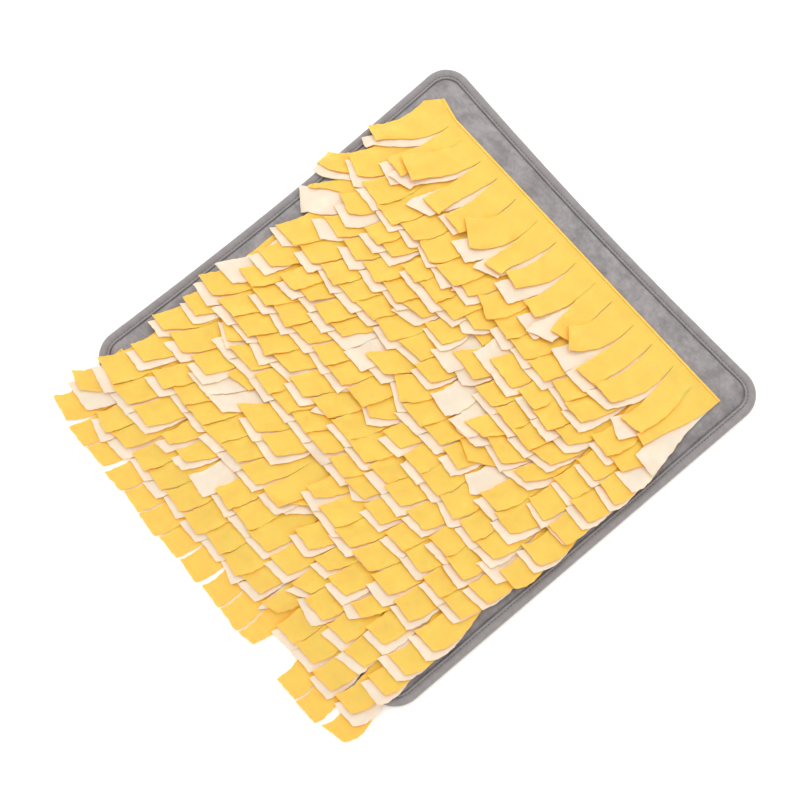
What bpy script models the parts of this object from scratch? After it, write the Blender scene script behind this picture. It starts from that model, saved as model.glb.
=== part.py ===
"""Snuffle mat: a bound plush pad with rows of overlapping fleece flaps sewn across it.

Metres, +Z up. The rows run along X, their flaps lie towards -Y, and the origin is the centre
of the pad's underside, which rests on the ground.
"""

import math
import random

import bmesh
import bpy

MM = 0.001

# The pad and the tape that binds its edge.
MAT_WIDTH = 505 * MM
MAT_LENGTH = 510 * MM
CORNER_RADIUS = 32 * MM
CORNER_STEPS = 6
SIDE_STEPS = 5
TOUCH = 0.3 * MM

# Profiles round the edge: how far in from the mat's outline, and how high, in millimetres.
TAPE_PROFILE = (
    # inset, height
    (12.0, 0.0),
    (1.8, 0.0),
    (0.0, 2.4),
    (0.2, 5.2),
    (2.4, 7.9),
    (6.0, 8.3),
    (9.0, 7.2),
    (12.0, 7.8),
    (12.0, 6.7),
    (9.0, 6.1),
    (5.7, 7.1),
    (3.0, 6.8),
    (1.3, 4.9),
    (1.2, 2.7),
    (2.5, 1.1),
    (12.0, 1.1),
)
PAD_PROFILE = (
    # inset, height
    (12.4, 0.0),
    (12.4, 1.45),
    (2.8, 1.45),
    (1.6, 2.8),
    (1.7, 4.8),
    (3.3, 6.4),
    (5.6, 6.75),
    (9.0, 5.75),
    (12.3, 6.3),
    (12.5, 7.9),
    (19.0, 8.5),
)
PAD_TOP = PAD_PROFILE[-1][1] * MM

# How unevenly the soft mat lies: how far each side leaves the square outline, in metres.
LEFT_SIDE_BOW = 6 * MM
TOP_SIDE_BOW = 6 * MM
RIGHT_SIDE_FLARE = 4 * MM

# The fringes: bands of fleece, each cut into flaps below a narrow header that is sewn down.
ROWS = 14
FLAPS = 15
FIRST_FLAP_EXTRA = 9 * MM
ROW_PITCH = 33.7 * MM
FIRST_SEAM_Y = 214 * MM
HEADER = 12 * MM
LOOSE_CORNER = (10 * MM, 9 * MM)
YELLOW_LENGTH = 90 * MM
CREAM_LENGTH = 99 * MM
CURL_START = 77 * MM
CURL_BEGUN = 0.3
LEAST_STEP = 4 * MM
LEAST_TIP = 3.5 * MM
CLOTH = 1.5 * MM
LAYER_STEP = 2.4 * MM
CUT = 0.9 * MM
TIP_GAP = 3.0 * MM
SIDE_BULGE = 2.5 * MM
CREAM_SIDE_SHIFT = 4 * MM

# Flaps side by side that are one solid flap. The cream ones lie hidden below the yellow ones.
YELLOW_GROUPS = (1,) * FLAPS
CREAM_GROUPS = (2, 2, 2, 3, 2, 2, 2)

# How far a flap's two tip corners may curl up, in millimetres.
YELLOW_CURL = (2.0, 4.5)
CREAM_CURL = (0.6, 1.6)

# How unevenly the flaps are cut: how long, and how far the right corner of a tip lies above the left one.
UNEVEN_LENGTH = 3 * MM
TIP_SLANT = (-6.0, 2.0)

# What the flaps lie on, from the top of the mat to the floor beyond its lower edge.
GROUND = (
    # y from the lower edge of the mat, height, in millimetres
    (400.0, 8.8),
    (26.0, 8.8),
    (3.0, 10.4),
    (-30.0, 0.0),
    (-90.0, 0.0),
)

# Where each row is sewn and where its tips reach, in millimetres from the mat's middle.
ROW_ENDS = (
    # left end sewn, right end sewn, left tip, right tip
    (-230, 224, -250, 212),
    (-224, 226, -236, 214),
    (-225, 242, -237, 236),
    (-214, 240, -225, 233),
    (-211, 240, -221, 233),
    (-207, 238, -216, 230),
    (-206, 240, -213, 234),
    (-220, 234, -232, 225),
    (-219, 232, -231, 223),
    (-221, 231, -233, 221),
    (-206, 231, -215, 223),
    (-219, 229, -230, 225),
    (-218, 226, -228, 217),
    (-229, 241, -238, 235),
)

# Yellow flaps that are tucked back or torn off, so that the cream below them shows.
BARE_FLAPS = (
    # row, flap
    (3, 9),
    (4, 1),
    (4, 8),
    (5, 9),
    (5, 10),
    (6, 6),
    (6, 12),
    (9, 3),
    (10, 4),
    (10, 5),
    (12, 6),
    (14, 12),
)

YELLOW = (0.930, 0.600, 0.130, 1.0)
CREAM = (0.900, 0.800, 0.700, 1.0)
PLUSH_GREY = (0.300, 0.285, 0.295, 1.0)
TAPE_GREY = (0.270, 0.260, 0.275, 1.0)


def clear_scene():
    for obj in list(bpy.data.objects):
        bpy.data.objects.remove(obj, do_unlink=True)


def material(name, colour, roughness):
    made = bpy.data.materials.new(name)
    made.use_nodes = True
    shader = made.node_tree.nodes["Principled BSDF"]
    shader.inputs["Base Color"].default_value = colour
    shader.inputs["Roughness"].default_value = roughness
    shader.inputs["Metallic"].default_value = 0.0
    return made


def add_object(name, bm, cloth_material, collection):
    bmesh.ops.recalc_face_normals(bm, faces=bm.faces)
    mesh = bpy.data.meshes.new(name)
    bm.to_mesh(mesh)
    bm.free()
    mesh.materials.append(cloth_material)
    obj = bpy.data.objects.new(name, mesh)
    collection.objects.link(obj)
    return obj


def as_laid(x, y):
    """Where a point of the square-cut mat lies once the soft sides have bowed."""
    across = x / MAT_WIDTH + 0.5
    down = 0.5 - y / MAT_LENGTH
    left = LEFT_SIDE_BOW * math.sin(math.pi * down)
    right = RIGHT_SIDE_FLARE * (1 - 2 * down)
    top = TOP_SIDE_BOW * math.sin(math.pi * across)
    return x + (1 - across) * left + across * right, y - (1 - down) * top


def outline(inset):
    """The mat's rounded outline, moved in by inset, anticlockwise from its lower right corner."""
    half_width = MAT_WIDTH / 2 - CORNER_RADIUS
    half_length = MAT_LENGTH / 2 - CORNER_RADIUS
    radius = CORNER_RADIUS - inset
    corners = ((1, -1), (1, 1), (-1, 1), (-1, -1))
    points = []
    for turn, (side_x, side_y) in enumerate(corners):
        for step in range(CORNER_STEPS + 1):
            angle = math.radians(90) * (turn - 1 + step / CORNER_STEPS)
            points.append(
                (
                    side_x * half_width + radius * math.cos(angle),
                    side_y * half_length + radius * math.sin(angle),
                )
            )
        next_x, next_y = corners[(turn + 1) % 4]
        start = points[-1]
        angle = math.radians(90) * turn
        end = (
            next_x * half_width + radius * math.cos(angle),
            next_y * half_length + radius * math.sin(angle),
        )
        for step in range(1, SIDE_STEPS):
            share = step / SIDE_STEPS
            points.append(
                (
                    start[0] + share * (end[0] - start[0]),
                    start[1] + share * (end[1] - start[1]),
                )
            )
    return [as_laid(x, y) for x, y in points]


def swept_round_edge(name, profile, closed, cloth_material, collection):
    """A profile carried round the mat's outline: a ring if it is closed, or a slab with two flat caps."""
    bm = bmesh.new()
    loops = []
    for inset, height in profile:
        ring = outline(inset * MM)
        loops.append([bm.verts.new((x, y, height * MM)) for x, y in ring])
    pairs = list(zip(loops, loops[1:] + loops[:1])) if closed else list(zip(loops, loops[1:]))
    for lower, upper in pairs:
        for i in range(len(lower)):
            j = (i + 1) % len(lower)
            bm.faces.new((lower[i], lower[j], upper[j], upper[i]))
    if not closed:
        bm.faces.new(loops[0])
        bm.faces.new(loops[-1])
    return add_object(name, bm, cloth_material, collection)


def seam_y(row):
    """Where a row is sewn down. Rows count from 1, at the top of the mat."""
    return FIRST_SEAM_Y - (row - 1) * ROW_PITCH


def ground_height(y):
    """The height of what the lowest flaps lie on, at a place across the rows."""
    from_edge = (y + MAT_LENGTH / 2) / MM
    for (near, high), (far, low) in zip(GROUND, GROUND[1:]):
        if from_edge >= far:
            share = (near - from_edge) / (near - far)
            return (high + share * (low - high)) * MM
    return GROUND[-1][1] * MM


def stack_height(row, down):
    """How high a row's lower layer rises over the rows below it, at a distance down from its seam."""
    if row == ROWS:
        return 0.0
    layers_below = 1 if row + 1 == ROWS else 2
    if down < ROW_PITCH:
        return layers_below * LAYER_STEP * down / ROW_PITCH
    return layers_below * LAYER_STEP + stack_height(row + 1, down - ROW_PITCH)


def stations(row, length):
    """The places across the rows where a flap's slope may change, from below its header to near its tip."""
    start = seam_y(row)
    kinks = [seam_y(other) for other in range(row + 1, ROWS + 1)]
    kinks += [-MAT_LENGTH / 2 + from_edge * MM for from_edge, _ in GROUND]
    kinks += [start - CURL_START]
    first, last = start - HEADER - LEAST_STEP, start - length + LEAST_TIP
    return sorted((y for y in kinks if last < y < first), reverse=True)


def cut_x(row, cut, share):
    """Where a cut between flaps lies, at a share of the way from header to tip. Cuts count from 0, the left end."""
    left, right, left_tip, right_tip = (end * MM for end in ROW_ENDS[row - 1])
    extra = FIRST_FLAP_EXTRA if cut else 0.0
    root = left + extra + (right - left - FIRST_FLAP_EXTRA) * cut / FLAPS
    tip = left_tip + (right_tip - left_tip) * cut / FLAPS
    return root + (tip - root) * share**3 + SIDE_BULGE * math.sin(math.pi * min(1.0, share))


def fringe(name, row, is_yellow, cloth_material, collection, draw):
    """One band of fleece: a sewn header and the flaps below it, as an open sheet that Solidify thickens."""
    groups = YELLOW_GROUPS if is_yellow else CREAM_GROUPS
    length = YELLOW_LENGTH if is_yellow else CREAM_LENGTH
    curl_range = YELLOW_CURL if is_yellow else CREAM_CURL
    side_shift = 0.0 if is_yellow else CREAM_SIDE_SHIFT
    over_cream = is_yellow and row < ROWS
    seam = seam_y(row)
    bm = bmesh.new()

    def height(y):
        """The sheet's underside. A yellow header lies on the cream one, and parts from it down the flap."""
        down = max(0.0, seam - y)
        below = ground_height(y) + stack_height(row, down)
        if not over_cream:
            return below
        spread = min(1.0, down / ROW_PITCH)
        return below + CLOTH + TOUCH + spread * (LAYER_STEP - CLOTH - TOUCH)

    def vertex(cut, y, is_right_side, rise=0.0):
        """A vertex on one side of a flap, beside the cut that parts it from the next."""
        share = max(0.0, (seam - y - HEADER) / (length - HEADER))
        gap = (CUT + (TIP_GAP - CUT) * share) if is_right_side else 0.0
        x = cut_x(row, cut, share) + side_shift * share - gap
        return bm.verts.new((x, y, height(y) + rise))

    headers = []
    first = 0
    for count in groups:
        top_left = vertex(first, seam, False)
        if is_yellow and row == 1 and first == 0:
            top_left.co.x += LOOSE_CORNER[0]
            top_left.co.y += LOOSE_CORNER[1]
        headers.append(
            (
                top_left,
                vertex(first + count, seam, True),
                vertex(first, seam - HEADER, False),
                vertex(first + count, seam - HEADER, True),
            )
        )
        first += count
    for one, after in zip(headers, headers[1:] + [None]):
        bm.faces.new((one[0], one[1], one[3], one[2]))
        if after:
            bm.faces.new((one[1], after[0], after[2], one[3]))

    first = 0
    for count, header in zip(groups, headers):
        left_cut, right_cut = first, first + count
        first += count
        tip = seam - length + draw.uniform(-UNEVEN_LENGTH, UNEVEN_LENGTH)
        slant = draw.uniform(*TIP_SLANT) * MM / 2
        curls = [draw.uniform(*curl_range) * MM if row < ROWS else 0.0 for _ in range(2)]
        if is_yellow and (row, left_cut + 1) in BARE_FLAPS:
            continue
        above = header[2:]
        places = stations(row, length)
        for y in places:
            begun = CURL_BEGUN if seam - y >= CURL_START else 0.0
            left_side = vertex(left_cut, y, False, begun * curls[0])
            right_side = vertex(right_cut, y, True, begun * curls[1])
            here = (left_side, right_side)
            bm.faces.new((above[0], above[1], here[1], here[0]))
            above = here
        highest_tip = places[-1] - LEAST_TIP
        left_tip = vertex(left_cut, min(highest_tip, tip - slant), False, curls[0])
        right_tip = vertex(right_cut, min(highest_tip, tip + slant), True, curls[1])
        bm.faces.new((above[0], above[1], right_tip, left_tip))

    sheet = add_object(name, bm, cloth_material, collection)
    if sheet.data.polygons[0].normal.z < 0:
        sheet.data.flip_normals()
    thicken = sheet.modifiers.new("cloth", "SOLIDIFY")
    thicken.thickness = CLOTH
    thicken.offset = 1.0


def main():
    clear_scene()
    collection = bpy.data.collections.new("snuffle_mat")
    bpy.context.scene.collection.children.link(collection)
    plush = material("plush_grey", PLUSH_GREY, 0.85)
    tape = material("binding_grey", TAPE_GREY, 0.8)
    yellow = material("fleece_yellow", YELLOW, 0.95)
    cream = material("fleece_cream", CREAM, 0.95)
    swept_round_edge("pad", PAD_PROFILE, False, plush, collection)
    swept_round_edge("binding", TAPE_PROFILE, True, tape, collection)
    for row in range(1, ROWS + 1):
        draw = random.Random(row)
        if row < ROWS:
            fringe(f"cream_fringe_{row:02d}", row, False, cream, collection, draw)
        fringe(f"yellow_fringe_{row:02d}", row, True, yellow, collection, draw)


main()
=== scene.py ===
"""Snuffle mat: plush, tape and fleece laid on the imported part. Metres, +Z up, in the part's frame.

The rows of flaps run along X and lie towards -Y. Each flap is laid in turn, from the lowest row
to the highest, on a height map of what already lies below it.
"""

import math
import bpy
import numpy as np
from mathutils import Matrix, Vector


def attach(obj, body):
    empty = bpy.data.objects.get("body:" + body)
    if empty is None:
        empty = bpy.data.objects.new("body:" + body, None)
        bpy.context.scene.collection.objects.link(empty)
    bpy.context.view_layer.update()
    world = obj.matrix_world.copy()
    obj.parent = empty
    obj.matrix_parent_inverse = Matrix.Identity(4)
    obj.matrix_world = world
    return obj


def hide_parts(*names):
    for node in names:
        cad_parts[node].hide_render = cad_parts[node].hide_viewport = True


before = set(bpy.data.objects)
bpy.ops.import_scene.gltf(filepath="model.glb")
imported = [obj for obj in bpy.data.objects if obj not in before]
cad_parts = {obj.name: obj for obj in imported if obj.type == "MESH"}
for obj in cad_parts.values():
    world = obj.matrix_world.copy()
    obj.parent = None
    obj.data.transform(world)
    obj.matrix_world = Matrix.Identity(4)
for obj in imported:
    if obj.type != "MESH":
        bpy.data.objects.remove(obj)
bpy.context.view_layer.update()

MM = 0.001

# The mat.
MAT_WIDTH = 505 * MM
MAT_LENGTH = 510 * MM
CORNER_RADIUS = 32 * MM
LEFT_SIDE_BOW = 6 * MM
TOP_SIDE_BOW = 6 * MM
TOP_SIDE_RISE = 3.5 * MM
RIGHT_SIDE_FLARE = 4 * MM
PAD_TOP = 8.5 * MM

# The rows of flaps.
ROWS = 14
FLAPS = 15
ROW_PITCH = 33.7 * MM
FIRST_SEAM_Y = 214 * MM
FIRST_FLAP_EXTRA = 9 * MM
HEADER = 12 * MM
CLOTH = 1.5 * MM
CUT = 0.4 * MM

# The left corner of the first yellow header is pulled to the right and up the mat by this much,
# and the cream one below it starts this far in from its end.
LOOSE_CORNER = (13 * MM, 6.5 * MM)
CREAM_CORNER_INSET = 10 * MM

# How the common flaps lie: a yellow tip's share of its flap's even width and a cream tip's of its
# yellow one's, how much narrower a flap's middle is, and how much further down and to the right a
# cream tip lies than its yellow one, with the last in a row apart, in millimetres.
YELLOW_WIDTH = 0.89
CREAM_WIDTH = 1.06
WAIST = -2.0
CREAM_EXTRA = 8.5
CREAM_SIDE_SHIFT = 3.5
LAST_CREAM_SHIFT = 1.0

# The share of a side's length over which it keeps the direction of its root, and of its tip.
ROOT_STIFFNESS = 0.48
TIP_STIFFNESS = 0.25

# How unevenly the common tips lie, in millimetres and degrees.
PLACE_SCATTER = 1.8
REACH_SCATTER = 1.5
TURN_SCATTER = 4.0
BOW_SCATTER = 1.5
CREAM_SCATTER = 1.2
CREAM_TURN_SCATTER = 2.5

# How far a tip's left and right corner stand up, and how far a flap's sides do or, below zero, its
# middle, in millimetres, with the share of it for each colour. The first row's tables give the
# heights of its corners.
LEFT_LIFT = (0.2, 1.5)
RIGHT_LIFT = (0.2, 1.9)
CUP = (-0.4, 0.6)
FIRST_ROW_CUP = (-0.8, 1.2)
YELLOW_LOOSE = 1.0
CREAM_LOOSE = 0.4

# The share of a flap's length where its tip starts to lift, and how late the lift comes.
LIFT_FROM = 0.45
LIFT_POWER = 1.7

# Flaps whose tips lie this far apart, or overlap by as much as the first figure, touch instead.
JOINED_GAPS = (-3.5 * MM, 3.0 * MM)
TIP_CUT = 0.12 * MM
LAST_ROW_TIP_CUT = 1.8 * MM

# From the left end of a row to its right end: how far the flaps' middles bow to +X, in millimetres,
# how much further than the row's even turn the tips turn clockwise, and how much further than
# their tips the flaps' sides do there, in degrees.
BOW_ENDS = (2.5, 0.8)
TURN_ENDS = (4.0, -4.0)
LEAN_ENDS = (22.0, 20.0)

# How loosely the cloth lies: the air under it, its ripples, and its sag in each round of settling.
AIR = 0.1 * MM
RIPPLE = 0.15 * MM
RIPPLE_SIZE = 38 * MM
SAG = 0.06 * MM
SETTLING_ROUNDS = 60
PULL_ALONG = 0.3
PULL_ACROSS = 0.4

# How uneven the cut edges are: a wave that neighbours share, one along each tip and a roughness,
# and how far the edges are rounded.
EDGE_WAVE = 0.5 * MM
EDGE_WAVE_SIZE = 11 * MM
EDGE_WAVE_SEED = 40
TIP_WAVE = 0.4 * MM
TIP_WAVE_SIZE = 9 * MM
YELLOW_ROUGHNESS = 0.07 * MM
CREAM_ROUGHNESS = 0.12 * MM
EDGE_ROUNDING = 0.22 * MM

# Where each row is sewn and where its tips reach, in millimetres from the mat's middle.
ROW_ENDS = (
    # left end sewn, right end sewn, left tip, right tip
    (-230, 227, -250, 212),
    (-224, 226, -236, 214),
    (-225, 232, -237, 236),
    (-214, 232, -225, 233),
    (-211, 231, -221, 233),
    (-207, 230, -216, 230),
    (-206, 231, -213, 234),
    (-220, 228, -232, 225),
    (-219, 225, -231, 223),
    (-221, 224, -233, 221),
    (-206, 222, -215, 223),
    (-219, 220, -230, 225),
    (-218, 218, -228, 217),
    (-229, 223, -238, 235),
)

# How the flaps of the first row lie, which no other row covers, in millimetres from the mat's
# middle: how far a flap's right cut is off its even place, its two tip corners, how far its middle
# bows to +X, how much narrower its middle is, and how far its tip corners stand up.
FIRST_ROW_YELLOW = (
    # right cut, left tip corner, right tip corner, bow, waist, left up, right up
    (2, -247, 136, -225, 130, 3, 4, 3, 2),
    (-6, -202, 125, -175, 122, 2, 0, 1, 1),
    (-4, -192, 137, -163, 127, -1, 0, 2, 3),
    (-7, -141, 124, -116, 125, 0, 4, 2, 2),
    (-6, -112, 130, -86, 128, 3, 0, 2, 2),
    (-2, -96, 144, -66, 125, 5, 0, 2, 3),
    (-1, -44, 125, -22, 130, 2, 3, 2, 3),
    (0, -22, 136, -1, 132, 4, 0, 3, 3),
    (0, 14, 130, 36, 126, 4, 0, 2, 2),
    (-3, 57, 129, 82, 138, 1, 0, 1, 1),
    (1, 65, 146, 85, 129, 3, 0, 6, 4),
    (-1, 105, 121, 131, 124, 3, 0, 2, 2),
    (1, 129, 125, 156, 125, 6, 0, 2, 2),
    (0, 173, 121, 198, 125, 6, 0, 2, 2),
    (0, 196, 122, 210, 119, -3, 0, 2, 2),
)
FIRST_ROW_CREAM = (
    # right cut, left tip corner, right tip corner, bow, waist, left up, right up
    (6, -243, 122, -229, 118, 6, 0, 1, 1),
    (-2, -204, 115, -176, 108, 7, 0, 1, 1),
    (0, -185, 112, -159, 121, 4, 0, 1, 1),
    (-3, -149, 106, -122, 116, 6, -4, 1, 1),
    (-2, -116, 124, -89, 122, 3, 0, 1, 1),
    (2, -85, 116, -57, 111, 6, 0, 1, 1),
    (3, -48, 113, -22, 126, 6, -4, 1, 2),
    (4, -21, 119, 6, 115, 5, 0, 1, 1),
    (4, 23, 112, 53, 109, 6, 0, 1, 1),
    (1, 41, 109, 68, 122, 4, 0, 1, 2),
    (5, 72, 116, 99, 111, 5, 0, 1, 1),
    (3, 100, 111, 129, 111, 5, 0, 1, 1),
    (5, 129, 112, 158, 117, 10, 0, 1, 1),
    (4, 165, 114, 188, 104, 6, 0, 1, 1),
    (0, 211, 107, 238, 105, -1, 0, 1, 2),
)

# How far the tips turn clockwise in each row, in degrees.
ROW_TURN = (8, 7, 5, 4, 3, 2, 2, 2, 0, 1, 0, -1, 0, -1)

# How far the yellow tips lie from the seam at each row's left end, middle and right end, and how
# far the tips in the middle of the row lie off their even places, in millimetres.
ROW_REACH = (
    (90, 90, 90, 0),
    (92, 88, 95, 0),
    (90, 85, 92, 0),
    (88, 80, 90, -1),
    (90, 81, 88, -2),
    (91, 81, 88, -7),
    (91, 82, 88, -5),
    (91, 83, 88, -5),
    (84, 77, 84, -6),
    (88, 82, 90, -7),
    (91, 82, 91, -6),
    (98, 86, 87, -1),
    (98, 91, 91, 1),
    (95, 95, 87, 2),
)

# Flaps that lie apart from their row, in millimetres and degrees. The first row is not in these.
YELLOW_APART = {
    # row, flap: middle of the tip from the mat's middle, reach, width, clockwise turn, bow
    (2, 1): (-222, 87, 31, 18, 4),
    (2, 2): (-184, 95, 31, 8, 3),
    (2, 3): (-152, 100, 29, 5, 3),
    (2, 4): (-124, 94, 26, 2, 3),
    (2, 5): (-95, 94, 28, 16, 3),
    (2, 6): (-60, 96, 31, 1, 3),
    (2, 8): (-11, 88, 31, 20, 3),
    (2, 14): (180, 95, 27, 4, 3),
    (2, 15): (202, 95, 26, 3, 2),
    (3, 1): (-255, 69, 19, 82, 0),
    (3, 2): (-194, 89, 27, 19, 3),
    (3, 3): (-146, 92, 25, 4, 3),
    (3, 5): (-87, 89, 25, 2, 3),
    (3, 6): (-58, 87, 31, 3, 3),
    (3, 8): (-9, 75, 27, 6, 3),
    (3, 13): (147, 84, 24, -3, 5),
    (4, 1): (-233, 69, 9, -27, 3),
    (4, 2): (-183, 83, 28, 8, 3),
    (4, 4): (-117, 85, 28, 10, 3),
    (4, 6): (-54, 78, 26, -14, 3),
    (4, 7): (-21, 78, 30, 3, 3),
    (4, 9): (28, 77, 29, 7, 3),
    (4, 10): (64, 83, 27, 3, 3),
    (4, 13): (150, 81, 25, -12, 3),
    (5, 1): (-208, 93, 34, 0, 4),
    (5, 7): (-23, 75, 32, -8, 3),
    (5, 11): (84, 80, 27, -9, 3),
    (5, 12): (113, 78, 31, 12, 4),
    (5, 13): (149, 76, 18, -7, 6),
    (6, 1): (-203, 92, 26, 2, 4),
    (6, 2): (-165, 92, 25, -1, 3),
    (6, 7): (-33, 78, 25, -1, 3),
    (6, 8): (-3, 77, 31, 28, 4),
    (6, 9): (31, 85, 32, 1, 3),
    (6, 12): (91, 67, 27, 21, 3),
    (6, 14): (174, 88, 27, 4, 3),
    (6, 15): (216, 88, 26, 2, 6),
    (7, 8): (-12, 78, 31, 26, 4),
    (7, 15): (220, 88, 25, 2, 3),
    (8, 1): (-221, 91, 29, 5, 4),
    (9, 2): (-171, 72, 30, 25, 4),
    (10, 1): (-224, 88, 23, 2, 4),
    (10, 4): (-116, 64, 29, -12, 0),
    (10, 9): (23, 80, 16, 3, 3),
    (10, 10): (54, 84, 31, 1, 3),
    (10, 15): (211, 90, 29, -3, 5),
    (11, 1): (-210, 91, 24, 2, -1),
    (11, 9): (5, 77, 26, -19, 6),
    (11, 11): (86, 86, 20, -6, 3),
    (11, 13): (144, 88, 18, 6, 3),
    (11, 15): (211, 92, 27, -1, 6),
    (12, 1): (-219, 95, 35, 8, 4),
    (12, 4): (-119, 92, 15, -4, 4),
    (12, 5): (-95, 91, 17, 0, 4),
    (12, 11): (91, 83, 22, -23, 3),
    (12, 15): (213, 87, 27, -3, 4),
    (13, 1): (-236, 92, 24, 15, 4),
    (13, 11): (84, 86, 21, -18, 5),
    (13, 15): (205, 91, 25, -1, 5),
    (14, 1): (-224, 90, 30, 10, 3),
    (14, 11): (95, 91, 29, -9, 3),
    (14, 15): (221, 84, 28, -13, 8),
}
CREAM_APART = {
    # row, flap: middle of the tip from the mat's middle, reach, width, clockwise turn, bow
    (2, 3): (-149, 106, 31, 10, 4),
    (2, 5): (-94, 100, 30, 16, 4),
    (2, 6): (-65, 104, 29, 15, 4),
    (2, 8): (-38, 92, 22, -57, 8),
    (2, 15): (224, 102, 27, 1, 2),
    (3, 2): (-186, 102, 30, 13, 5),
    (3, 8): (-15, 83, 28, 20, 4),
    (4, 1): (-233, 86, 32, 35, 3),
    (4, 2): (-192, 97, 26, 18, 4),
    (4, 6): (-55, 91, 30, -16, 4),
    (4, 8): (5, 93, 31, 3, 3),
    (4, 9): (26, 88, 28, 14, 4),
    (5, 1): (-214, 101, 28, 8, 4),
    (5, 11): (85, 92, 28, -5, 3),
    (5, 13): (150, 83, 34, -12, 6),
    (5, 15): (215, 90, 31, -1, 3),
    (6, 1): (-200, 104, 28, 0, -3),
    (6, 12): (119, 88, 27, 19, 3),
    (7, 1): (-218, 102, 31, -1, 2),
    (7, 7): (-33, 81, 24, -57, 6),
    (7, 15): (202, 100, 29, -3, 3),
    (8, 7): (-32, 86, 28, -37, 6),
    (9, 10): (44, 81, 28, 25, 3),
    (10, 4): (-142, 98, 34, -1, 4),
    (10, 5): (-113, 97, 25, -3, 4),
    (10, 9): (27, 90, 22, 7, 3),
    (10, 12): (108, 88, 29, -3, 8),
    (11, 13): (132, 96, 28, 14, 3),
    (12, 1): (-217, 107, 31, 11, 4),
    (12, 11): (94, 90, 27, -30, 8),
    (12, 12): (111, 96, 31, 11, 3),
    (13, 1): (-222, 102, 38, 4, 4),
    (13, 5): (-91, 106, 22, -1, 4),
    (13, 11): (83, 88, 22, -56, 6),
    (13, 15): (214, 98, 30, -1, 6),
}

# Flaps tucked under their row, and one torn short, with how far from the seam they reach.
YELLOW_TUCKED = ((3, 9), (4, 8), (5, 9), (5, 10), (6, 6), (9, 3), (10, 5), (10, 8), (12, 6))
CREAM_TUCKED = ((10, 8),)
TORN_OFF = ((14, 12),)
TUCKED_REACH = 45
TORN_REACH = 22

# Flaps lie over their right neighbours, and one flap of this row over its left one too. Those of
# the first row lie over their left ones, but for the last: this is the order they are laid in.
TURNED_ROW = 6
TURNED_FLAP = 12
FIRST_ROW_ORDER = (*range(13), 14, 13)

# A header's steps: how far each lies below the seam, and how it stands proud of the cloth or
# sinks in where the seam pulls it down.
HEADER_PLACES = (0.0, 1.2 * MM, 2.2 * MM, 3.2 * MM, 7.0 * MM, HEADER)
HEADER_HEIGHTS = (0.0, 0.5 * MM, -0.9 * MM, 0.2 * MM, 0.0, 0.0)
HEADER_STEPS = len(HEADER_PLACES) - 1
SEWN_STEP = 2

# How finely a flap is made below its header and across.
FLAP_STEPS = 26
ACROSS_STEPS = 8

# Only this part of a flap carries its neighbours of the same row: from this step on, and without
# this share of its width at each side.
CARRIES_FROM = HEADER_STEPS + 6
EDGE_TRIM = 0.06

# Soft noise: how many waves it adds up, the range of their lengths, and what brings it to about 1.
NOISE_WAVES = 6
NOISE_SPREAD = (0.7, 1.5)
NOISE_LEVEL = 2.5


def as_laid(x, y):
    """Where a point of the square-cut mat lies once its soft sides have bowed."""
    across = x / MAT_WIDTH + 0.5
    down = 0.5 - y / MAT_LENGTH
    left = LEFT_SIDE_BOW * np.sin(math.pi * np.clip(down, 0, 1))
    right = RIGHT_SIDE_FLARE * (1 - 2 * down)
    top = TOP_SIDE_BOW * np.sin(math.pi * np.clip(across, 0, 1))
    return x + (1 - across) * left + across * right, y + (1 - down) * (TOP_SIDE_RISE - top)


def soft_noise(x, y, size, seed):
    """Smooth noise between about -1 and 1, with lumps of the given size."""
    draw = np.random.default_rng(seed)
    total = np.zeros(np.broadcast(x, y).shape)
    for _ in range(NOISE_WAVES):
        turn = draw.uniform(0, 2 * math.pi)
        phase = draw.uniform(0, 2 * math.pi)
        wave = size * draw.uniform(*NOISE_SPREAD)
        total += np.sin((x * math.cos(turn) + y * math.sin(turn)) * 2 * math.pi / wave + phase)
    return total / NOISE_LEVEL


class Pile:
    """Heights of the top of all that has been laid so far, on a square grid.

    Cloth rests on the highest point within TOUCH of it, and a sheet that is added to the pile is
    first made FINER times finer, so that it leaves no cell out.
    """

    CELL = 1.0 * MM
    HALF_X = 320 * MM
    HALF_Y = 400 * MM
    TOUCH = 0.8 * MM
    FINER = 5

    def __init__(self, top=None):
        x = np.arange(-self.HALF_X, self.HALF_X, self.CELL)
        y = np.arange(-self.HALF_Y, self.HALF_Y, self.CELL)
        self.x, self.y = np.meshgrid(x, y, indexing="ij")
        self.top = np.zeros(self.x.shape) if top is None else top

    def copy(self):
        return Pile(self.top.copy())

    def cell(self, x, y):
        i = np.clip(((x + self.HALF_X) / self.CELL).round().astype(int), 1, self.top.shape[0] - 2)
        j = np.clip(((y + self.HALF_Y) / self.CELL).round().astype(int), 1, self.top.shape[1] - 2)
        return i, j

    def under(self, x, y):
        """The highest point close to each place."""
        found = np.full(x.shape, -1.0)
        for dx in (-self.TOUCH, 0, self.TOUCH):
            for dy in (-self.TOUCH, 0, self.TOUCH):
                found = np.maximum(found, self.top[self.cell(x + dx, y + dy)])
        return found

    def lay(self, sheet, trim=0.0):
        """Adds the top of a sheet, a grid of points, without a share of its width at each side."""
        rows, columns = sheet.shape[:2]
        last = columns - 1
        fine_rows = np.linspace(0, rows - 1, (rows - 1) * self.FINER + 1)
        fine_columns = np.linspace(trim * last, (1 - trim) * last, last * self.FINER + 1)
        i = np.minimum(fine_rows.astype(int), rows - 2)
        j = np.minimum(fine_columns.astype(int), columns - 2)
        a = (fine_rows - i)[:, None, None]
        b = (fine_columns - j)[None, :, None]
        near, far = sheet[i], sheet[i + 1]
        fine = (1 - a) * ((1 - b) * near[:, j] + b * near[:, j + 1])
        fine += a * ((1 - b) * far[:, j] + b * far[:, j + 1])
        cells = self.cell(fine[..., 0], fine[..., 1])
        np.maximum.at(self.top, cells, fine[..., 2])


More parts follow.
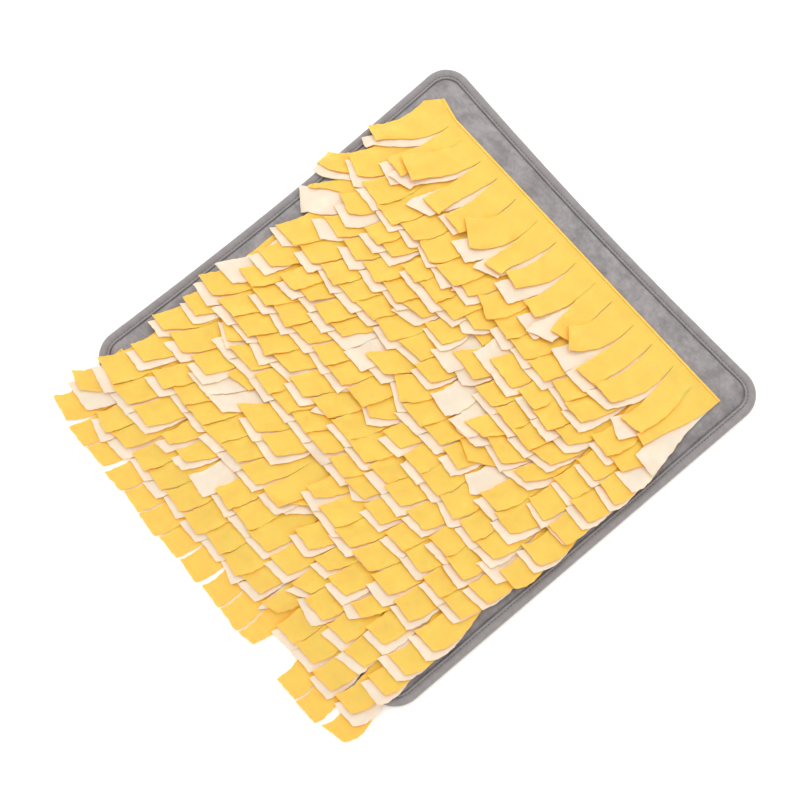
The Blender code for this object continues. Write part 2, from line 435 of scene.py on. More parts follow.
def depth_inside(x, y):
    """How far a place lies inside the mat's outline, and below zero outside it."""
    moved_x, moved_y = as_laid(x, y)
    x, y = 2 * x - moved_x, 2 * y - moved_y
    past_x = np.abs(x) - (MAT_WIDTH / 2 - CORNER_RADIUS)
    past_y = np.abs(y) - (MAT_LENGTH / 2 - CORNER_RADIUS)
    outside = np.hypot(np.maximum(past_x, 0), np.maximum(past_y, 0))
    return CORNER_RADIUS - outside - np.minimum(np.maximum(past_x, past_y), 0)


def start_pile():
    """The bare mat on the floor: a slope outside it that cloth hangs over, the tape and the pad."""
    pile = Pile()
    depth = depth_inside(pile.x, pile.y)
    inset = [-6 * MM, -1 * MM, 2 * MM, 6 * MM, 12 * MM, 16 * MM]
    height = [0.0, 8.3 * MM, 9.6 * MM, 9.6 * MM, 8.3 * MM, PAD_TOP]
    pile.top = np.interp(depth, inset, height)
    return pile


def mesh_object(name, points, faces, material):
    """A smooth-shaded piece that rides on the mat."""
    mesh = bpy.data.meshes.new(name)
    mesh.from_pydata(points, [], faces)
    mesh.update()
    obj = bpy.data.objects.new(name, mesh)
    bpy.context.scene.collection.objects.link(obj)
    mesh.materials.append(material)
    mesh.polygons.foreach_set("use_smooth", [True] * len(mesh.polygons))
    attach(obj, "root")
    return obj


# ---------------------------------------------------------------------------------- flaps


class FlapLie:
    """How one flap lies: its tip's corners, and how far each side bows, leans there and lifts."""

    def __init__(self, left_tip, right_tip, bow, waist, up, cup, lean=0.0):
        self.tips = [np.array(left_tip), np.array(right_tip)]
        tip_line = self.tips[1] - self.tips[0]
        turned = math.atan2(-tip_line[1], tip_line[0])
        self.leans = [turned + lean, turned + lean]
        self.bows = [bow + waist / 2, bow - waist / 2]
        self.up = list(up)
        self.cup = cup


def join_neighbours(lies, tip_cut):
    """Lets flaps whose tips nearly touch lie edge to edge, as the one cut between them left them."""
    for left, right in zip(lies, lies[1:]):
        gap = right.tips[0][0] - left.tips[1][0]
        if not JOINED_GAPS[0] < gap < JOINED_GAPS[1]:
            continue
        lean = (left.leans[1] + right.leans[0]) / 2
        meet = (left.tips[1] + right.tips[0]) / 2
        for flap, side, gap_share in ((left, 1, -0.5), (right, 0, 0.5)):
            beyond = flap.tips[side][1] - meet[1]
            flap.tips[side][0] = meet[0] + math.tan(lean) * beyond + gap_share * tip_cut
            flap.leans[side] = lean
        left.bows[1] = right.bows[0] = (left.bows[1] + right.bows[0]) / 2
        left.up[1] = right.up[0] = (left.up[1] + right.up[0]) / 2


def side_curve(root, tip, lean, share):
    """A flap's side: it leaves its root straight down the mat and leans to the left at its tip."""
    length = root[1] - tip[1]
    after_root = root + np.array((0.0, -ROOT_STIFFNESS * length))
    before_tip = tip + TIP_STIFFNESS * length * np.array((math.sin(lean), math.cos(lean)))
    t = share[:, None]
    near = (1 - t) ** 3 * root + 3 * (1 - t) ** 2 * t * after_root
    return near + 3 * (1 - t) * t**2 * before_tip + t**3 * tip


def plan_of_flap(seam, left, right, lie, draw, roughness):
    """Where a flap lies seen from above: its x and y as grids, down the flap and across it."""
    share = np.linspace(0, 1, FLAP_STEPS + 1)
    roots = np.array(((left, seam - HEADER), (right, seam - HEADER)))
    sides = [side_curve(roots[side], lie.tips[side], lie.leans[side], share) for side in (0, 1)]
    rough = draw.normal(0, roughness, (2, len(share)))
    fade = np.clip(share * 2, 0, 1)
    for side, bow in enumerate(lie.bows):
        curve = sides[side]
        curve[:, 0] += bow * np.sin(math.pi * share)
        wave = soft_noise(curve[:, 0], curve[:, 1], EDGE_WAVE_SIZE, EDGE_WAVE_SEED)
        curve[:, 0] += (EDGE_WAVE * wave + rough[side]) * fade
    left_side, right_side = sides
    across = np.linspace(0, 1, ACROSS_STEPS + 1)[None, :, None]
    flap = left_side[:, None] * (1 - across) + right_side[:, None] * across
    tip_seed = int(draw.integers(1 << 30))
    flap[-1, :, 1] += TIP_WAVE * soft_noise(flap[-1, :, 0], 0, TIP_WAVE_SIZE, tip_seed)
    header_x = np.linspace(left, right, ACROSS_STEPS + 1)[None, :]
    header_y = seam - np.array(HEADER_PLACES[:-1])[:, None]
    header = np.stack(np.broadcast_arrays(header_x, header_y), axis=-1)
    plan = np.concatenate([header, flap])
    return plan[..., 0], plan[..., 1]


def lay_flap(pile, seam, left, right, lie, draw, roughness, loose=(0.0, 0.0)):
    """Lays one flap on the pile and returns its underside as a grid of points.

    Loose is how far the left corner of its header is pulled.
    """
    x, y = plan_of_flap(seam, left, right, lie, draw, roughness)
    share = np.concatenate([np.zeros(HEADER_STEPS), np.linspace(0, 1, FLAP_STEPS + 1)])[:, None]
    side = np.linspace(-1, 1, ACROSS_STEPS + 1)[None, :]
    fade = np.clip(share * 2, 0, 1)
    corner = np.clip(1 - (seam - y) / HEADER, 0, 1) * (1 - side) / 2
    x, y = x + loose[0] * corner, y + loose[1] * corner
    z = settle(pile.under(x, y) + AIR)
    free = np.clip((share - LIFT_FROM) / (1 - LIFT_FROM), 0, 1)
    across = (side + 1) / 2
    z = z + (lie.up[0] * (1 - across) + lie.up[1] * across) * free**LIFT_POWER
    z = z + (max(lie.cup, 0) * side**2 + max(-lie.cup, 0) * (1 - side**2)) * fade
    ripple = soft_noise(x, y, RIPPLE_SIZE, int(draw.integers(1 << 30)))
    z = z + RIPPLE * (ripple + 1) * fade
    z[: HEADER_STEPS + 1] += np.array(HEADER_HEIGHTS)[:, None]
    return np.stack([x, y, z], axis=-1)


def settle(support):
    """A sheet that rests on the support and bridges its hollows, as stiff cloth does."""
    z = support.copy()
    for _ in range(SETTLING_ROUNDS):
        ahead = np.vstack([z[1:], 2 * z[-1:] - z[-2:-1]])
        behind = np.vstack([z[:1], z[:-1]])
        wide = np.hstack([z[:, :1], z, z[:, -1:]])
        beside = (wide[:, :-2] + wide[:, 2:]) / 2
        smooth = PULL_ALONG * (ahead + behind) + PULL_ACROSS * beside
        z = np.maximum(support, smooth - SAG)
        z[: HEADER_STEPS + 1] = support[: HEADER_STEPS + 1].max()
    return z


def row_cuts(row, moves):
    """Where the cuts between the flaps of a row start, from its left end to its right end."""
    left, right = (end * MM for end in ROW_ENDS[row - 1][:2])
    pitch = (right - left - FIRST_FLAP_EXTRA) / FLAPS
    cuts = [left] + [left + FIRST_FLAP_EXTRA + cut * pitch for cut in range(1, FLAPS + 1)]
    return [cut + move * MM for cut, move in zip(cuts, [0.0] + list(moves))]


def lie_of(values, cup):
    """A lie from the values of a first-row table, which are in millimetres."""
    values = [value * MM for value in values]
    left_x, left_y, right_x, right_y, bow, waist, left_up, right_up = values
    return FlapLie((left_x, left_y), (right_x, right_y), bow, waist, (left_up, right_up), cup)


def between(ends, share):
    """The value this share of the way from the first end to the second."""
    return ends[0] + (ends[1] - ends[0]) * share


def tip_corners(x, y, width, turned):
    """The left and right corner of a tip, from its middle, its width and its clockwise turn."""
    turned = math.radians(turned)
    half = np.array((math.cos(turned), -math.sin(turned))) * width / 2
    return np.array((x, y)) - half, np.array((x, y)) + half


def common_lie(row, flap, shared):
    """How a yellow flap lies that no table names: its tip's place, reach, width, turn and bow."""
    left_tip, right_tip = ROW_ENDS[row - 1][2:]
    left_reach, middle_reach, right_reach, sway = ROW_REACH[row - 1]
    pitch = (right_tip - left_tip) / FLAPS
    across = (flap - 0.5) / FLAPS
    x = left_tip + pitch * (flap - 0.5) + sway * math.sin(math.pi * across)
    x += shared.normal(0, PLACE_SCATTER)
    reach = np.interp(across, (0, 0.5, 1), (left_reach, middle_reach, right_reach))
    reach += shared.normal(0, REACH_SCATTER)
    turned = ROW_TURN[row - 1] + between(TURN_ENDS, across) + shared.normal(0, TURN_SCATTER)
    bow = between(BOW_ENDS, across) + shared.uniform(-BOW_SCATTER, BOW_SCATTER)
    return x, reach, pitch * YELLOW_WIDTH, turned, bow


def lie_under(yellow_lie, flap, own):
    """How a cream flap lies that no table names: much as the yellow one that covers it."""
    x, reach, width, turned, bow = yellow_lie
    x += (LAST_CREAM_SHIFT if flap == FLAPS else CREAM_SIDE_SHIFT) + own.normal(0, CREAM_SCATTER)
    reach += CREAM_EXTRA + own.normal(0, CREAM_SCATTER)
    return x, reach, width * CREAM_WIDTH, turned + own.normal(0, CREAM_TURN_SCATTER), bow


def lie_below(row, flap, is_yellow, seam, shared, own):
    """How a flap lies in the rows below the first. A cream flap follows the yellow one above it."""
    values = common_lie(row, flap, shared)
    values = YELLOW_APART.get((row, flap), values)
    if not is_yellow:
        values = CREAM_APART.get((row, flap), lie_under(values, flap, own))
    x, reach, width, turned, bow = values
    if (row, flap) in (YELLOW_TUCKED if is_yellow else CREAM_TUCKED):
        reach = TUCKED_REACH
    if is_yellow and (row, flap) in TORN_OFF:
        reach = TORN_REACH
    loose = YELLOW_LOOSE if is_yellow else CREAM_LOOSE
    up = [own.uniform(*lift) * loose * MM for lift in (LEFT_LIFT, RIGHT_LIFT)]
    cup = own.uniform(*CUP) * loose * MM
    left, right = tip_corners(x, seam / MM - reach, width, turned)
    lean = math.radians(between(LEAN_ENDS, (flap - 0.5) / FLAPS))
    return FlapLie(left * MM, right * MM, bow * MM, WAIST * MM, up, cup, lean)


def lies_below(row, is_yellow, seam):
    """How all the flaps of a row below the first lie. Its two colours share their main draws."""
    shared = np.random.default_rng(100 + row)
    own = np.random.default_rng(200 + 2 * row + is_yellow)
    lies = [lie_below(row, flap, is_yellow, seam, shared, own) for flap in range(1, FLAPS + 1)]
    join_neighbours(lies, LAST_ROW_TIP_CUT if row == ROWS else TIP_CUT)
    return lies


def laying_order(row):
    """The flaps of a row, from 0, in the order in which they are laid."""
    if row == 1:
        return FIRST_ROW_ORDER
    order = list(range(FLAPS - 1, -1, -1))
    if row == TURNED_ROW:
        order.remove(TURNED_FLAP - 1)
        order.insert(order.index(TURNED_FLAP - 2) + 1, TURNED_FLAP - 1)
    return order


def sheet_faces(steps, columns):
    """The faces of a row of flaps, joined along their headers."""
    faces = []
    for flap in range(FLAPS):
        base = flap * steps * columns
        for i in range(steps - 1):
            for k in range(columns - 1):
                a = base + i * columns + k
                faces.append((a, a + columns, a + columns + 1, a + 1))
        if flap + 1 == FLAPS:
            continue
        after = base + steps * columns
        for i in range(HEADER_STEPS):
            a = base + i * columns + columns - 1
            b = after + i * columns
            faces.append((a, a + columns, b + columns, b))
    return faces


def first_row(is_yellow, draw):
    """The cuts of the first row and how its flaps lie."""
    table = FIRST_ROW_YELLOW if is_yellow else FIRST_ROW_CREAM
    cuts = row_cuts(1, [flap[0] for flap in table])
    if not is_yellow:
        cuts[0] += CREAM_CORNER_INSET
    return cuts, [lie_of(values[1:], draw.uniform(*FIRST_ROW_CUP) * MM) for values in table]


def row_below(row, is_yellow, seam):
    """The cuts of a row below the first and how its flaps lie."""
    return row_cuts(row, [0.0] * FLAPS), lies_below(row, is_yellow, seam)


def lay_row(row, is_yellow, pile):
    """Lays a row's flaps on the pile. Returns its cuts and the undersides of its flaps."""
    roughness = YELLOW_ROUGHNESS if is_yellow else CREAM_ROUGHNESS
    draw = np.random.default_rng(row * 2 + is_yellow)
    seam = FIRST_SEAM_Y - (row - 1) * ROW_PITCH
    cuts, lies = first_row(is_yellow, draw) if row == 1 else row_below(row, is_yellow, seam)
    crossing = pile.copy()
    lift = np.array([0, 0, CLOTH])
    sheets = [None] * FLAPS
    for flap in laying_order(row):
        loose = LOOSE_CORNER if is_yellow and row == 1 and flap == 0 else (0.0, 0.0)
        left, right = cuts[flap], cuts[flap + 1] - CUT
        sheets[flap] = lay_flap(crossing, seam, left, right, lies[flap], draw, roughness, loose)
        crossing.lay((sheets[flap] + lift)[CARRIES_FROM:], EDGE_TRIM)
    for sheet in sheets:
        pile.lay(sheet + lift)
    return cuts, sheets


def give_thickness(obj):
    """Makes a sheet of faces as thick as the cloth, with softened edges."""
    thicken = obj.modifiers.new("cloth", "SOLIDIFY")
    thicken.thickness = CLOTH
    thicken.offset = 1.0
    rounding = obj.modifiers.new("soft edges", "BEVEL")
    rounding.width = EDGE_ROUNDING
    rounding.segments = 2
    rounding.limit_method = "ANGLE"
    rounding.angle_limit = math.radians(60)


def fringe(row, is_yellow, pile, materials):
    """One sewn band of fleece and its flaps, laid on the pile."""
    colour = "yellow" if is_yellow else "cream"
    cuts, sheets = lay_row(row, is_yellow, pile)
    points = np.concatenate([sheet.reshape(-1, 3) for sheet in sheets])
    faces = sheet_faces(*sheets[0].shape[:2])
    slot = f"fleece_{colour}"
    obj = mesh_object(f"{colour}_flaps_{row:02d}", points.tolist(), faces, materials[slot])
    give_thickness(obj)
    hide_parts(f"{colour}_fringe_{row:02d}")
    return sheets


# ---------------------------------------------------------------------------------- pad and tape


# How finely the outline is made: steps round each corner and along each side.
CORNER_STEPS = 14
SIDE_STEPS = 60


def outline(inset):
    """The mat's outline, moved in by inset, anticlockwise from the lower right corner."""
    radius = max(CORNER_RADIUS - inset, 6 * MM)
    half_width = MAT_WIDTH / 2 - inset - radius
    half_length = MAT_LENGTH / 2 - inset - radius
    corners = ((1, -1), (1, 1), (-1, 1), (-1, -1))
    points = []
    for turn, (side_x, side_y) in enumerate(corners):
        for step in range(CORNER_STEPS + 1):
            angle = math.radians(90) * (turn - 1 + step / CORNER_STEPS)
            x = side_x * half_width + radius * math.cos(angle)
            y = side_y * half_length + radius * math.sin(angle)
            points.append((x, y))
        next_x, next_y = corners[(turn + 1) % 4]
        angle = math.radians(90) * turn
        start = np.array(points[-1])
        end = np.array((next_x * half_width, next_y * half_length))
        end += radius * np.array((math.cos(angle), math.sin(angle)))
        for step in range(1, SIDE_STEPS):
            points.append(tuple(start + step / SIDE_STEPS * (end - start)))
    points = np.array(points)
    return np.stack(as_laid(points[:, 0], points[:, 1]), axis=-1)


PAD_PROFILE = (
    # inset, height, in millimetres
    (12.4, 0.0),
    (12.4, 1.45),
    (2.8, 1.45),
    (1.6, 2.8),
    (1.7, 4.8),
    (3.3, 6.4),
    (5.6, 6.75),
    (9.0, 5.75),
    (12.3, 5.8),
    (13.0, 5.9),
    (13.5, 7.5),
    (14.6, 8.7),
    (18.0, 9.0),
    (22.0, 8.8),
    (27.0, 8.6),
    (32.0, 8.5),
    (38.0, 8.5),
    (44.0, 8.5),
    (52.0, 8.5),
)
TAPE_PROFILE = (
    # inset, height, in millimetres
    (12.0, 0.0),
    (5.0, 0.0),
    (1.6, 0.1),
    (0.5, 0.9),
    (0.0, 2.4),
    (0.0, 4.2),
    (0.5, 6.0),
    (1.6, 7.5),
    (3.2, 8.4),
    (5.0, 8.6),
    (6.8, 8.2),
    (8.2, 7.3),
    (8.9, 6.6),
    (9.4, 7.3),
    (10.1, 8.2),
    (11.1, 8.3),
    (11.8, 7.6),
    (12.0, 6.7),
    (9.0, 6.1),
    (5.7, 7.1),
    (3.0, 6.8),
    (1.3, 4.9),
    (1.2, 2.7),
    (2.5, 1.1),
    (12.0, 1.1),
)

# The pad's top is lumpy inside this inset and the tape above this height, both in millimetres.
# The tape puckers a little between its stitches too.
PAD_SEAM_INSET = 13.0
LEAST_LUMPY_HEIGHT = 3.0
PAD_LUMP = 0.4 * MM
PAD_LUMP_SIZE = 30 * MM
PAD_LUMP_SEED = 3
TAPE_LUMP = 0.2 * MM
TAPE_LUMP_SIZE = 16 * MM
TAPE_LUMP_SEED = 5
TAPE_PUCKER = 0.1 * MM
TAPE_PUCKER_SIZE = 5 * MM
TAPE_PUCKER_SEED = 6

# A face whose normal points down more than this is the flat underside, and is shaded flat.
FACES_THE_FLOOR = -0.99


def swept_faces(loops, count, closed):
    """The faces between loops of this many points: a ring, or a slab with two flat caps."""
    faces = []
    for k in range(loops if closed else loops - 1):
        low, up = k * count, ((k + 1) % loops) * count
        for i in range(count):
            j = (i + 1) % count
            faces.append((low + i, low + j, up + j, up + i))
    if not closed:
        faces.append(tuple(range(count))[::-1])
        faces.append(tuple(range((loops - 1) * count, loops * count)))
    return faces


def swept(name, profile, closed, lumps, slot, materials):
    """A profile carried round the mat's outline."""
    loops = []
    for inset, height in profile:
        ring = outline(inset * MM)
        z = height * MM + lumps(ring[:, 0], ring[:, 1], inset, height)
        loops.append(np.column_stack([ring, z]))
    faces = swept_faces(len(loops), len(loops[0]), closed)
    obj = mesh_object(name, np.concatenate(loops).tolist(), faces, materials[slot])
    for face in obj.data.polygons:
        if face.normal.z < FACES_THE_FLOOR:
            face.use_smooth = False
    return obj


def pad_lumps(x, y, inset, height):
    """How far the plush stands up or sinks in, at a place with this inset and height."""
    if inset < PAD_SEAM_INSET:
        return 0 * x
    return PAD_LUMP * soft_noise(x, y, PAD_LUMP_SIZE, PAD_LUMP_SEED)


def tape_lumps(x, y, inset, height):
    """The same for the tape."""
    if height < LEAST_LUMPY_HEIGHT:
        return 0 * x
    lumps = TAPE_LUMP * soft_noise(x, y, TAPE_LUMP_SIZE, TAPE_LUMP_SEED)
    return lumps + TAPE_PUCKER * soft_noise(x, y, TAPE_PUCKER_SIZE, TAPE_PUCKER_SEED)


def make_pad(materials):
    """The padded base in its plush cover, and the tape folded round its edge."""
    pad = swept("plush_pad", PAD_PROFILE, False, pad_lumps, "plush_grey", materials)
    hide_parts("pad")
    tape = swept("edge_tape", TAPE_PROFILE, True, tape_lumps, "binding_grey", materials)
    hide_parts("binding")


# ---------------------------------------------------------------------------------- stitches

STITCH_LENGTH = 3.0 * MM
STITCH_PITCH = 4.2 * MM
THREAD = 0.55 * MM
THREAD_SIDES = 6
STITCH_SECTIONS = (
    # place along the stitch, thickness, height: shares of its length and of the thread
    (-0.5, 0.12, -0.5),
    (-0.35, 0.5, 0.0),
    (0.0, 0.6, 0.25),
    (0.35, 0.5, 0.0),
    (0.5, 0.12, -0.5),
)

# The header's seam starts this many points in from its left end and lies this far above the cloth.
SEAM_STARTS = 4
SEAM_ABOVE = 0.1 * MM

# The tape's groove and the thread in it, in millimetres.
GROOVE_INSET = 8.9
GROOVE_HEIGHT = 6.9
GROOVE_THREAD = 7.0


def stitch_points(here, along):
    """The rings of points of one stitch that lies here, in this direction."""
    beside = np.array((-along[1], along[0], 0.0))
    points = []
    for place, thick, high in STITCH_SECTIONS:
        centre = here + along * place * STITCH_LENGTH + np.array((0, 0, high * THREAD))
        for corner in range(THREAD_SIDES):
            angle = 2 * math.pi * corner / THREAD_SIDES
            offset = beside * math.cos(angle) + np.array((0, 0, math.sin(angle)))
            points.append(tuple(centre + thick * THREAD * offset))
    return points


def stitch_faces(base):
    """The faces of one stitch whose points start at base."""
    sides = THREAD_SIDES
    faces = []
    for ring in range(len(STITCH_SECTIONS) - 1):
        for corner in range(sides):
            a = base + ring * sides + corner
            b = base + ring * sides + (corner + 1) % sides
            faces.append((a, b, b + sides, a + sides))
    end = base + (len(STITCH_SECTIONS) - 1) * sides
    faces.append(tuple(range(base, base + sides))[::-1])
    faces.append(tuple(range(end, end + sides)))
    return faces


def stitches(name, path, material):
    """A row of short rounded threads that lie along a path of points."""
    points, faces = [], []
    path = np.asarray(path)
    lengths = np.concatenate([[0.0], np.cumsum(np.linalg.norm(np.diff(path, axis=0), axis=1))])
    for start in np.arange(STITCH_PITCH / 2, lengths[-1], STITCH_PITCH):
        here = np.array([np.interp(start, lengths, path[:, axis]) for axis in range(3)])
        ahead = np.array([np.interp(start + MM, lengths, path[:, axis]) for axis in range(3)])
        along = (ahead - here) / np.linalg.norm(ahead - here)
        faces += stitch_faces(len(points))
        points += stitch_points(here, along)
    return mesh_object(name, points, faces, material)


def make_stitches(header_sheets, materials):
    """The seam in the top header's fold, and the one in the tape's groove."""
    seam = np.concatenate([sheet[SEWN_STEP] for sheet in header_sheets])
    seam = seam[SEAM_STARTS:] + np.array((0, 0, CLOTH + SEAM_ABOVE))
    stitches("header_stitches", seam, materials["thread_yellow"])
    ring = outline(GROOVE_INSET * MM)
    z = GROOVE_THREAD * MM + tape_lumps(ring[:, 0], ring[:, 1], GROOVE_INSET, GROOVE_HEIGHT)
    # painted shade: the dark thread also darkens the line of the tape's groove
    stitches("tape_stitches", np.column_stack([ring, z]), materials["thread_grey_groove_shade"])


# ---------------------------------------------------------------------------------- materials

# Painted shadow of the fringe on the plush along the mat's right side: where along X it starts, over
# what width it fades in, and how bright the plush is beyond.
PAINTED_SHADOW_FROM = 228 * MM
PAINTED_SHADOW_FADE = 8 * MM
PAINTED_SHADOW_BRIGHTNESS = 0.80

# Painted shade in each crevice of the fleece: how far off the cloth that shades it may be, and the
# openness at which the painted shade is full (SHELTERED) and at which it is gone (OPEN).
PAINTED_SHADE_REACH = 7.0 * MM
SHELTERED = 0.35
OPEN = 0.95
SHELTER_SAMPLES = 4

# Each fleece: its colour, how it glows (how much, how far, and how far for red, green and blue)
# and the tint of its painted shade in a crevice, warm as the light off the cloth beside it.
YELLOW = (0.900, 0.535, 0.116, 1.0)
YELLOW_GLOW = (0.7, 6.0 * MM, (1.0, 0.25, 0.08))
YELLOW_PAINTED_SHADE = (1.08, 0.82, 0.20)
CREAM = (0.770, 0.665, 0.560, 1.0)
CREAM_GLOW = (0.5, 4.0 * MM, (1.0, 0.5, 0.3))
CREAM_PAINTED_SHADE = (1.13, 0.93, 0.70)

# The colours of the plush, the tape and the threads. The grey thread is much darker than the tape,
# partly as painted shade of the tape's groove that it lies in.
PLUSH_GREY = (0.268, 0.256, 0.274, 1.0)
TAPE_GREY = (0.238, 0.226, 0.240, 1.0)
YELLOW_THREAD = (0.780, 0.360, 0.040, 1.0)
GREY_THREAD_AND_GROOVE_SHADE = (0.110, 0.105, 0.110, 1.0)


def node_material(name, colour, roughness):
    """A new material, its node tree and its shader."""
    made = bpy.data.materials.new(name)
    made.use_nodes = True
    shader = made.node_tree.nodes["Principled BSDF"]
    shader.inputs["Base Color"].default_value = colour
    shader.inputs["Roughness"].default_value = roughness
    return made, made.node_tree, shader


def place(tree, scale=(1.0, 1.0, 1.0)):
    """The place on the object, in metres, stretched by a scale."""
    where = tree.nodes.new("ShaderNodeTexCoord").outputs["Object"]
    stretch = tree.nodes.new("ShaderNodeMapping")
    stretch.inputs["Scale"].default_value = scale
    tree.links.new(where, stretch.inputs["Vector"])
    return stretch.outputs["Vector"]


def noise(tree, where, scale, detail=2.0, rough=0.5, distortion=0.0):
    node = tree.nodes.new("ShaderNodeTexNoise")
    node.inputs["Scale"].default_value = scale
    node.inputs["Detail"].default_value = detail
    node.inputs["Roughness"].default_value = rough
    node.inputs["Distortion"].default_value = distortion
    tree.links.new(where, node.inputs["Vector"])
    return node.outputs["Fac"]


def ramp(tree, factor, stops):
    """Turns a factor into the colours of the stops."""
    node = tree.nodes.new("ShaderNodeValToRGB")
    elements = node.color_ramp.elements
    while len(elements) < len(stops):
        elements.new(0.5)
    for element, (position, colour) in zip(elements, stops):
        element.position = position
        element.color = colour
    tree.links.new(factor, node.inputs["Fac"])
    return node.outputs["Color"]


def multiply(tree, first, second):
    node = tree.nodes.new("ShaderNodeMix")
    node.data_type = "RGBA"
    node.blend_type = "MULTIPLY"
    node.inputs["Factor"].default_value = 1.0
    tree.links.new(first, node.inputs[6])
    tree.links.new(second, node.inputs[7])
    return node.outputs[2]


def bump(tree, shader, height, distance, strength=1.0, before=None):
    """Adds relief to the shader, on top of the relief before it."""
    node = tree.nodes.new("ShaderNodeBump")
    node.inputs["Distance"].default_value = distance
    node.inputs["Strength"].default_value = strength
    tree.links.new(height, node.inputs["Height"])
    if before is not None:
        tree.links.new(before, node.inputs["Normal"])
    tree.links.new(node.outputs["Normal"], shader.inputs["Normal"])
    return node.outputs["Normal"]


def grey(value):
    return (value, value, value, 1.0)


def tinted(colour, factor):
    """The colour made lighter or darker by a factor."""
    return tuple(min(1.0, c * factor) for c in colour[:3]) + (1.0,)


def painted_crevice_shade(tree, tint):
    """Painted shade: white in the open, the tint in a crevice, for its shade and the light off
    nearby cloth.
    """
    shelter = tree.nodes.new("ShaderNodeAmbientOcclusion")
    shelter.samples = SHELTER_SAMPLES
    shelter.inputs["Distance"].default_value = PAINTED_SHADE_REACH
    return ramp(tree, shelter.outputs["AO"], ((SHELTERED, (*tint, 1.0)), (OPEN, grey(1.0))))


def fleece(name, colour, glow, painted_shade_tint):
    """Brushed fleece: matt, faintly mottled, with fine fuzz. Light glows through it a little."""
    made, tree, shader = node_material(name, colour, 0.95)
    where = place(tree)
    mottle = noise(tree, where, 60.0, 3.0)
    shade = ramp(tree, mottle, ((0.3, tinted(colour, 0.95)), (0.7, tinted(colour, 1.03))))
    # painted shade: the colour is tinted warmer and darker wherever other cloth lies close by
    crevice_shade_paint = painted_crevice_shade(tree, painted_shade_tint)
    tree.links.new(multiply(tree, shade, crevice_shade_paint), shader.inputs["Base Color"])
    glow_weight, glow_reach, glow_radius = glow
    shader.inputs["Subsurface Weight"].default_value = glow_weight
    shader.inputs["Subsurface Radius"].default_value = glow_radius
    shader.inputs["Subsurface Scale"].default_value = glow_reach
    shader.inputs["Sheen Weight"].default_value = 0.25
    shader.inputs["Sheen Roughness"].default_value = 0.5
    shader.inputs["Specular IOR Level"].default_value = 0.2
    fuzz = noise(tree, where, 1400.0, 3.0, 0.7)
    soft = noise(tree, where, 220.0, 3.0)
    first = bump(tree, shader, fuzz, 0.25 * MM, 0.5)
    bump(tree, shader, soft, 0.6 * MM, 0.35, first)
    return made


def painted_fringe_shadow(tree, where):
    """Painted shadow: the plush is darker along the mat's right side, where the tall fringe shades
    it.
    """
    apart = tree.nodes.new("ShaderNodeSeparateXYZ")
    tree.links.new(where, apart.inputs["Vector"])
    scaled = tree.nodes.new("ShaderNodeMapRange")
    scaled.inputs["From Min"].default_value = PAINTED_SHADOW_FROM
    scaled.inputs["From Max"].default_value = PAINTED_SHADOW_FROM + PAINTED_SHADOW_FADE
    tree.links.new(apart.outputs["X"], scaled.inputs["Value"])
    return ramp(tree, scaled.outputs["Result"], ((0.0, grey(1.0)), (1.0, grey(PAINTED_SHADOW_BRIGHTNESS))))


def plush(name, colour):
    """Short plush, crushed into lighter and darker patches."""
    made, tree, shader = node_material(name, colour, 0.7)
    where = place(tree)
    crush = noise(tree, where, 60.0, 8.0, 0.7, 0.15)
    streaks = noise(tree, place(tree, (1.0, 2.5, 1.0)), 90.0, 5.0, 0.7, 0.15)
    patches = ramp(tree, crush, ((0.38, tinted(colour, 0.78)), (0.62, tinted(colour, 1.22))))
    lines = ramp(tree, streaks, ((0.35, grey(0.86)), (0.65, grey(1.0))))
    # painted shadow of the fringe on the right side, multiplied into the plush's colour
    shade = multiply(tree, multiply(tree, patches, lines), painted_fringe_shadow(tree, where))
    tree.links.new(shade, shader.inputs["Base Color"])
    shader.inputs["Sheen Weight"].default_value = 0.5
    shader.inputs["Sheen Roughness"].default_value = 0.35
    pile = noise(tree, where, 1600.0, 2.0)
    first = bump(tree, shader, pile, 0.4 * MM, 0.7)
    bump(tree, shader, crush, 3.0 * MM, 0.8, first)
    return made


def tape_cloth(name, colour):
    """The tape's short smooth plush."""
    made, tree, shader = node_material(name, colour, 0.75)
    where = place(tree)
    mottle = noise(tree, where, 120.0, 4.0, 0.6)
    shade = ramp(tree, mottle, ((0.3, tinted(colour, 0.88)), (0.7, tinted(colour, 1.1))))
    tree.links.new(shade, shader.inputs["Base Color"])
    shader.inputs["Sheen Weight"].default_value = 0.35
    fine = noise(tree, where, 1300.0, 2.0)
    bump(tree, shader, fine, 0.3 * MM, 0.6)
    return made


def thread(name, colour):
    """Twisted sewing thread."""
    made, tree, shader = node_material(name, colour, 0.6)
    twist = noise(tree, place(tree), 2500.0)
    shade = ramp(tree, twist, ((0.3, tinted(colour, 0.8)), (0.7, tinted(colour, 1.1))))
    tree.links.new(shade, shader.inputs["Base Color"])
    bump(tree, shader, twist, 0.1 * MM)
    return made


def make_materials():
    """The materials by the name of their slot, and the two threads."""
    return {
        "fleece_yellow": fleece("soft_yellow", YELLOW, YELLOW_GLOW, YELLOW_PAINTED_SHADE),
        "fleece_cream": fleece("soft_cream", CREAM, CREAM_GLOW, CREAM_PAINTED_SHADE),
        "plush_grey": plush("crushed_plush", PLUSH_GREY),
        "binding_grey": tape_cloth("smooth_tape", TAPE_GREY),
        "thread_yellow": thread("yellow_thread", YELLOW_THREAD),
        "thread_grey_groove_shade": thread("grey_thread_groove_shade", GREY_THREAD_AND_GROOVE_SHADE),
    }


# ---------------------------------------------------------------------------------- stage

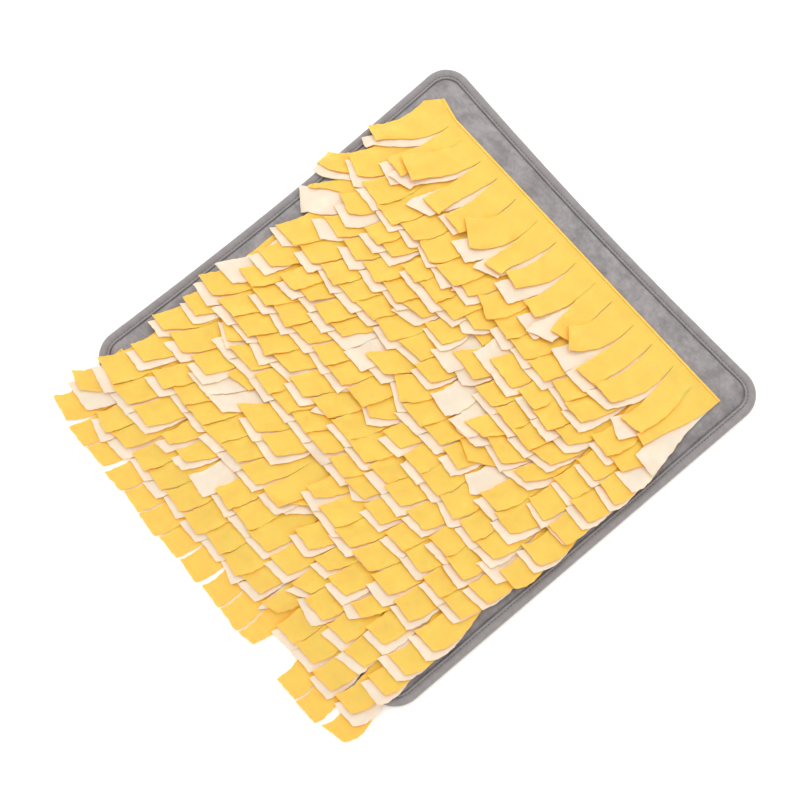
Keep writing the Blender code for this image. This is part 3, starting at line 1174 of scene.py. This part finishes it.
FLOOR_SIZE = 40.0
FLOOR_LEVEL = -0.3 * MM
FLOOR_WHITE = 0.93
FLOOR_GLOW = 0.12
SKY = 1.03
SKY_COLOUR = (1.0, 0.94, 0.86, 1.0)
LAMP_WATTS = 23.0
LAMP_COLOUR = (0.93, 0.98, 1.0)
LAMP_SIZE = (2.0, 2.0)
LAMP_PLACE = (-0.5, 0.6, 1.9)


def aim(obj, target):
    direction = Vector(target) - obj.location
    obj.rotation_euler = direction.to_track_quat("-Z", "Y").to_euler()


def make_floor():
    """A plain pale floor just below the mat."""
    bpy.ops.mesh.primitive_plane_add(size=FLOOR_SIZE, location=(0, 0, FLOOR_LEVEL))
    floor = bpy.context.object
    floor.name = "floor"
    made, _, shader = node_material("pale_floor", grey(FLOOR_WHITE), 1.0)
    shader.inputs["Emission Color"].default_value = grey(1.0)
    shader.inputs["Emission Strength"].default_value = FLOOR_GLOW
    floor.data.materials.append(made)


def make_sky():
    """An even, faintly warm sky."""
    world = bpy.data.worlds.new("studio")
    bpy.context.scene.world = world
    world.use_nodes = True
    sky = world.node_tree.nodes["Background"]
    sky.inputs["Color"].default_value = SKY_COLOUR
    sky.inputs["Strength"].default_value = SKY


def make_lamp():
    """One large soft lamp above the mat."""
    lamp = bpy.data.lights.new("softbox", "AREA")
    lamp.shape = "RECTANGLE"
    lamp.size, lamp.size_y = LAMP_SIZE
    lamp.energy = LAMP_WATTS
    lamp.color = LAMP_COLOUR
    box = bpy.data.objects.new("softbox", lamp)
    box.location = LAMP_PLACE
    aim(box, (0, 0, 0))
    bpy.context.scene.collection.objects.link(box)


def make_stage():
    """The floor, the light and plain colours in the picture."""
    make_floor()
    make_sky()
    make_lamp()
    bpy.context.scene.view_settings.view_transform = "Standard"
    bpy.context.scene.view_settings.look = "None"


# The camera: where it stands, what it looks at and which way is up in the picture.
CAMERA_PLACE = (0.2183, -0.1703, 1.2427)
CAMERA_TARGET = (0.0060, -0.0352, 0.0)
CAMERA_UP = (-0.7406, 0.6426, 0.1964)
CAMERA_LENS = 54.0
CAMERA_SENSOR = 36.0


def make_camera():
    """The camera at the photograph's viewing angle."""
    data = bpy.data.cameras.new("camera")
    data.lens = CAMERA_LENS
    data.sensor_width = CAMERA_SENSOR
    camera = bpy.data.objects.new("camera", data)
    back = (Vector(CAMERA_PLACE) - Vector(CAMERA_TARGET)).normalized()
    right = Vector(CAMERA_UP).cross(back).normalized()
    up = back.cross(right)
    turn = Matrix((right, up, back)).transposed().to_4x4()
    camera.matrix_world = Matrix.Translation(CAMERA_PLACE) @ turn
    bpy.context.scene.collection.objects.link(camera)
    bpy.context.scene.camera = camera


def main():
    """Makes the pad, the rows from the lowest to the highest, the seams and the stage."""
    materials = make_materials()
    make_pad(materials)
    pile = start_pile()
    for row in range(ROWS, 0, -1):
        if row < ROWS:
            fringe(row, False, pile, materials)
        sheets = fringe(row, True, pile, materials)
    make_stitches(sheets, materials)
    make_stage()
    make_camera()


main()
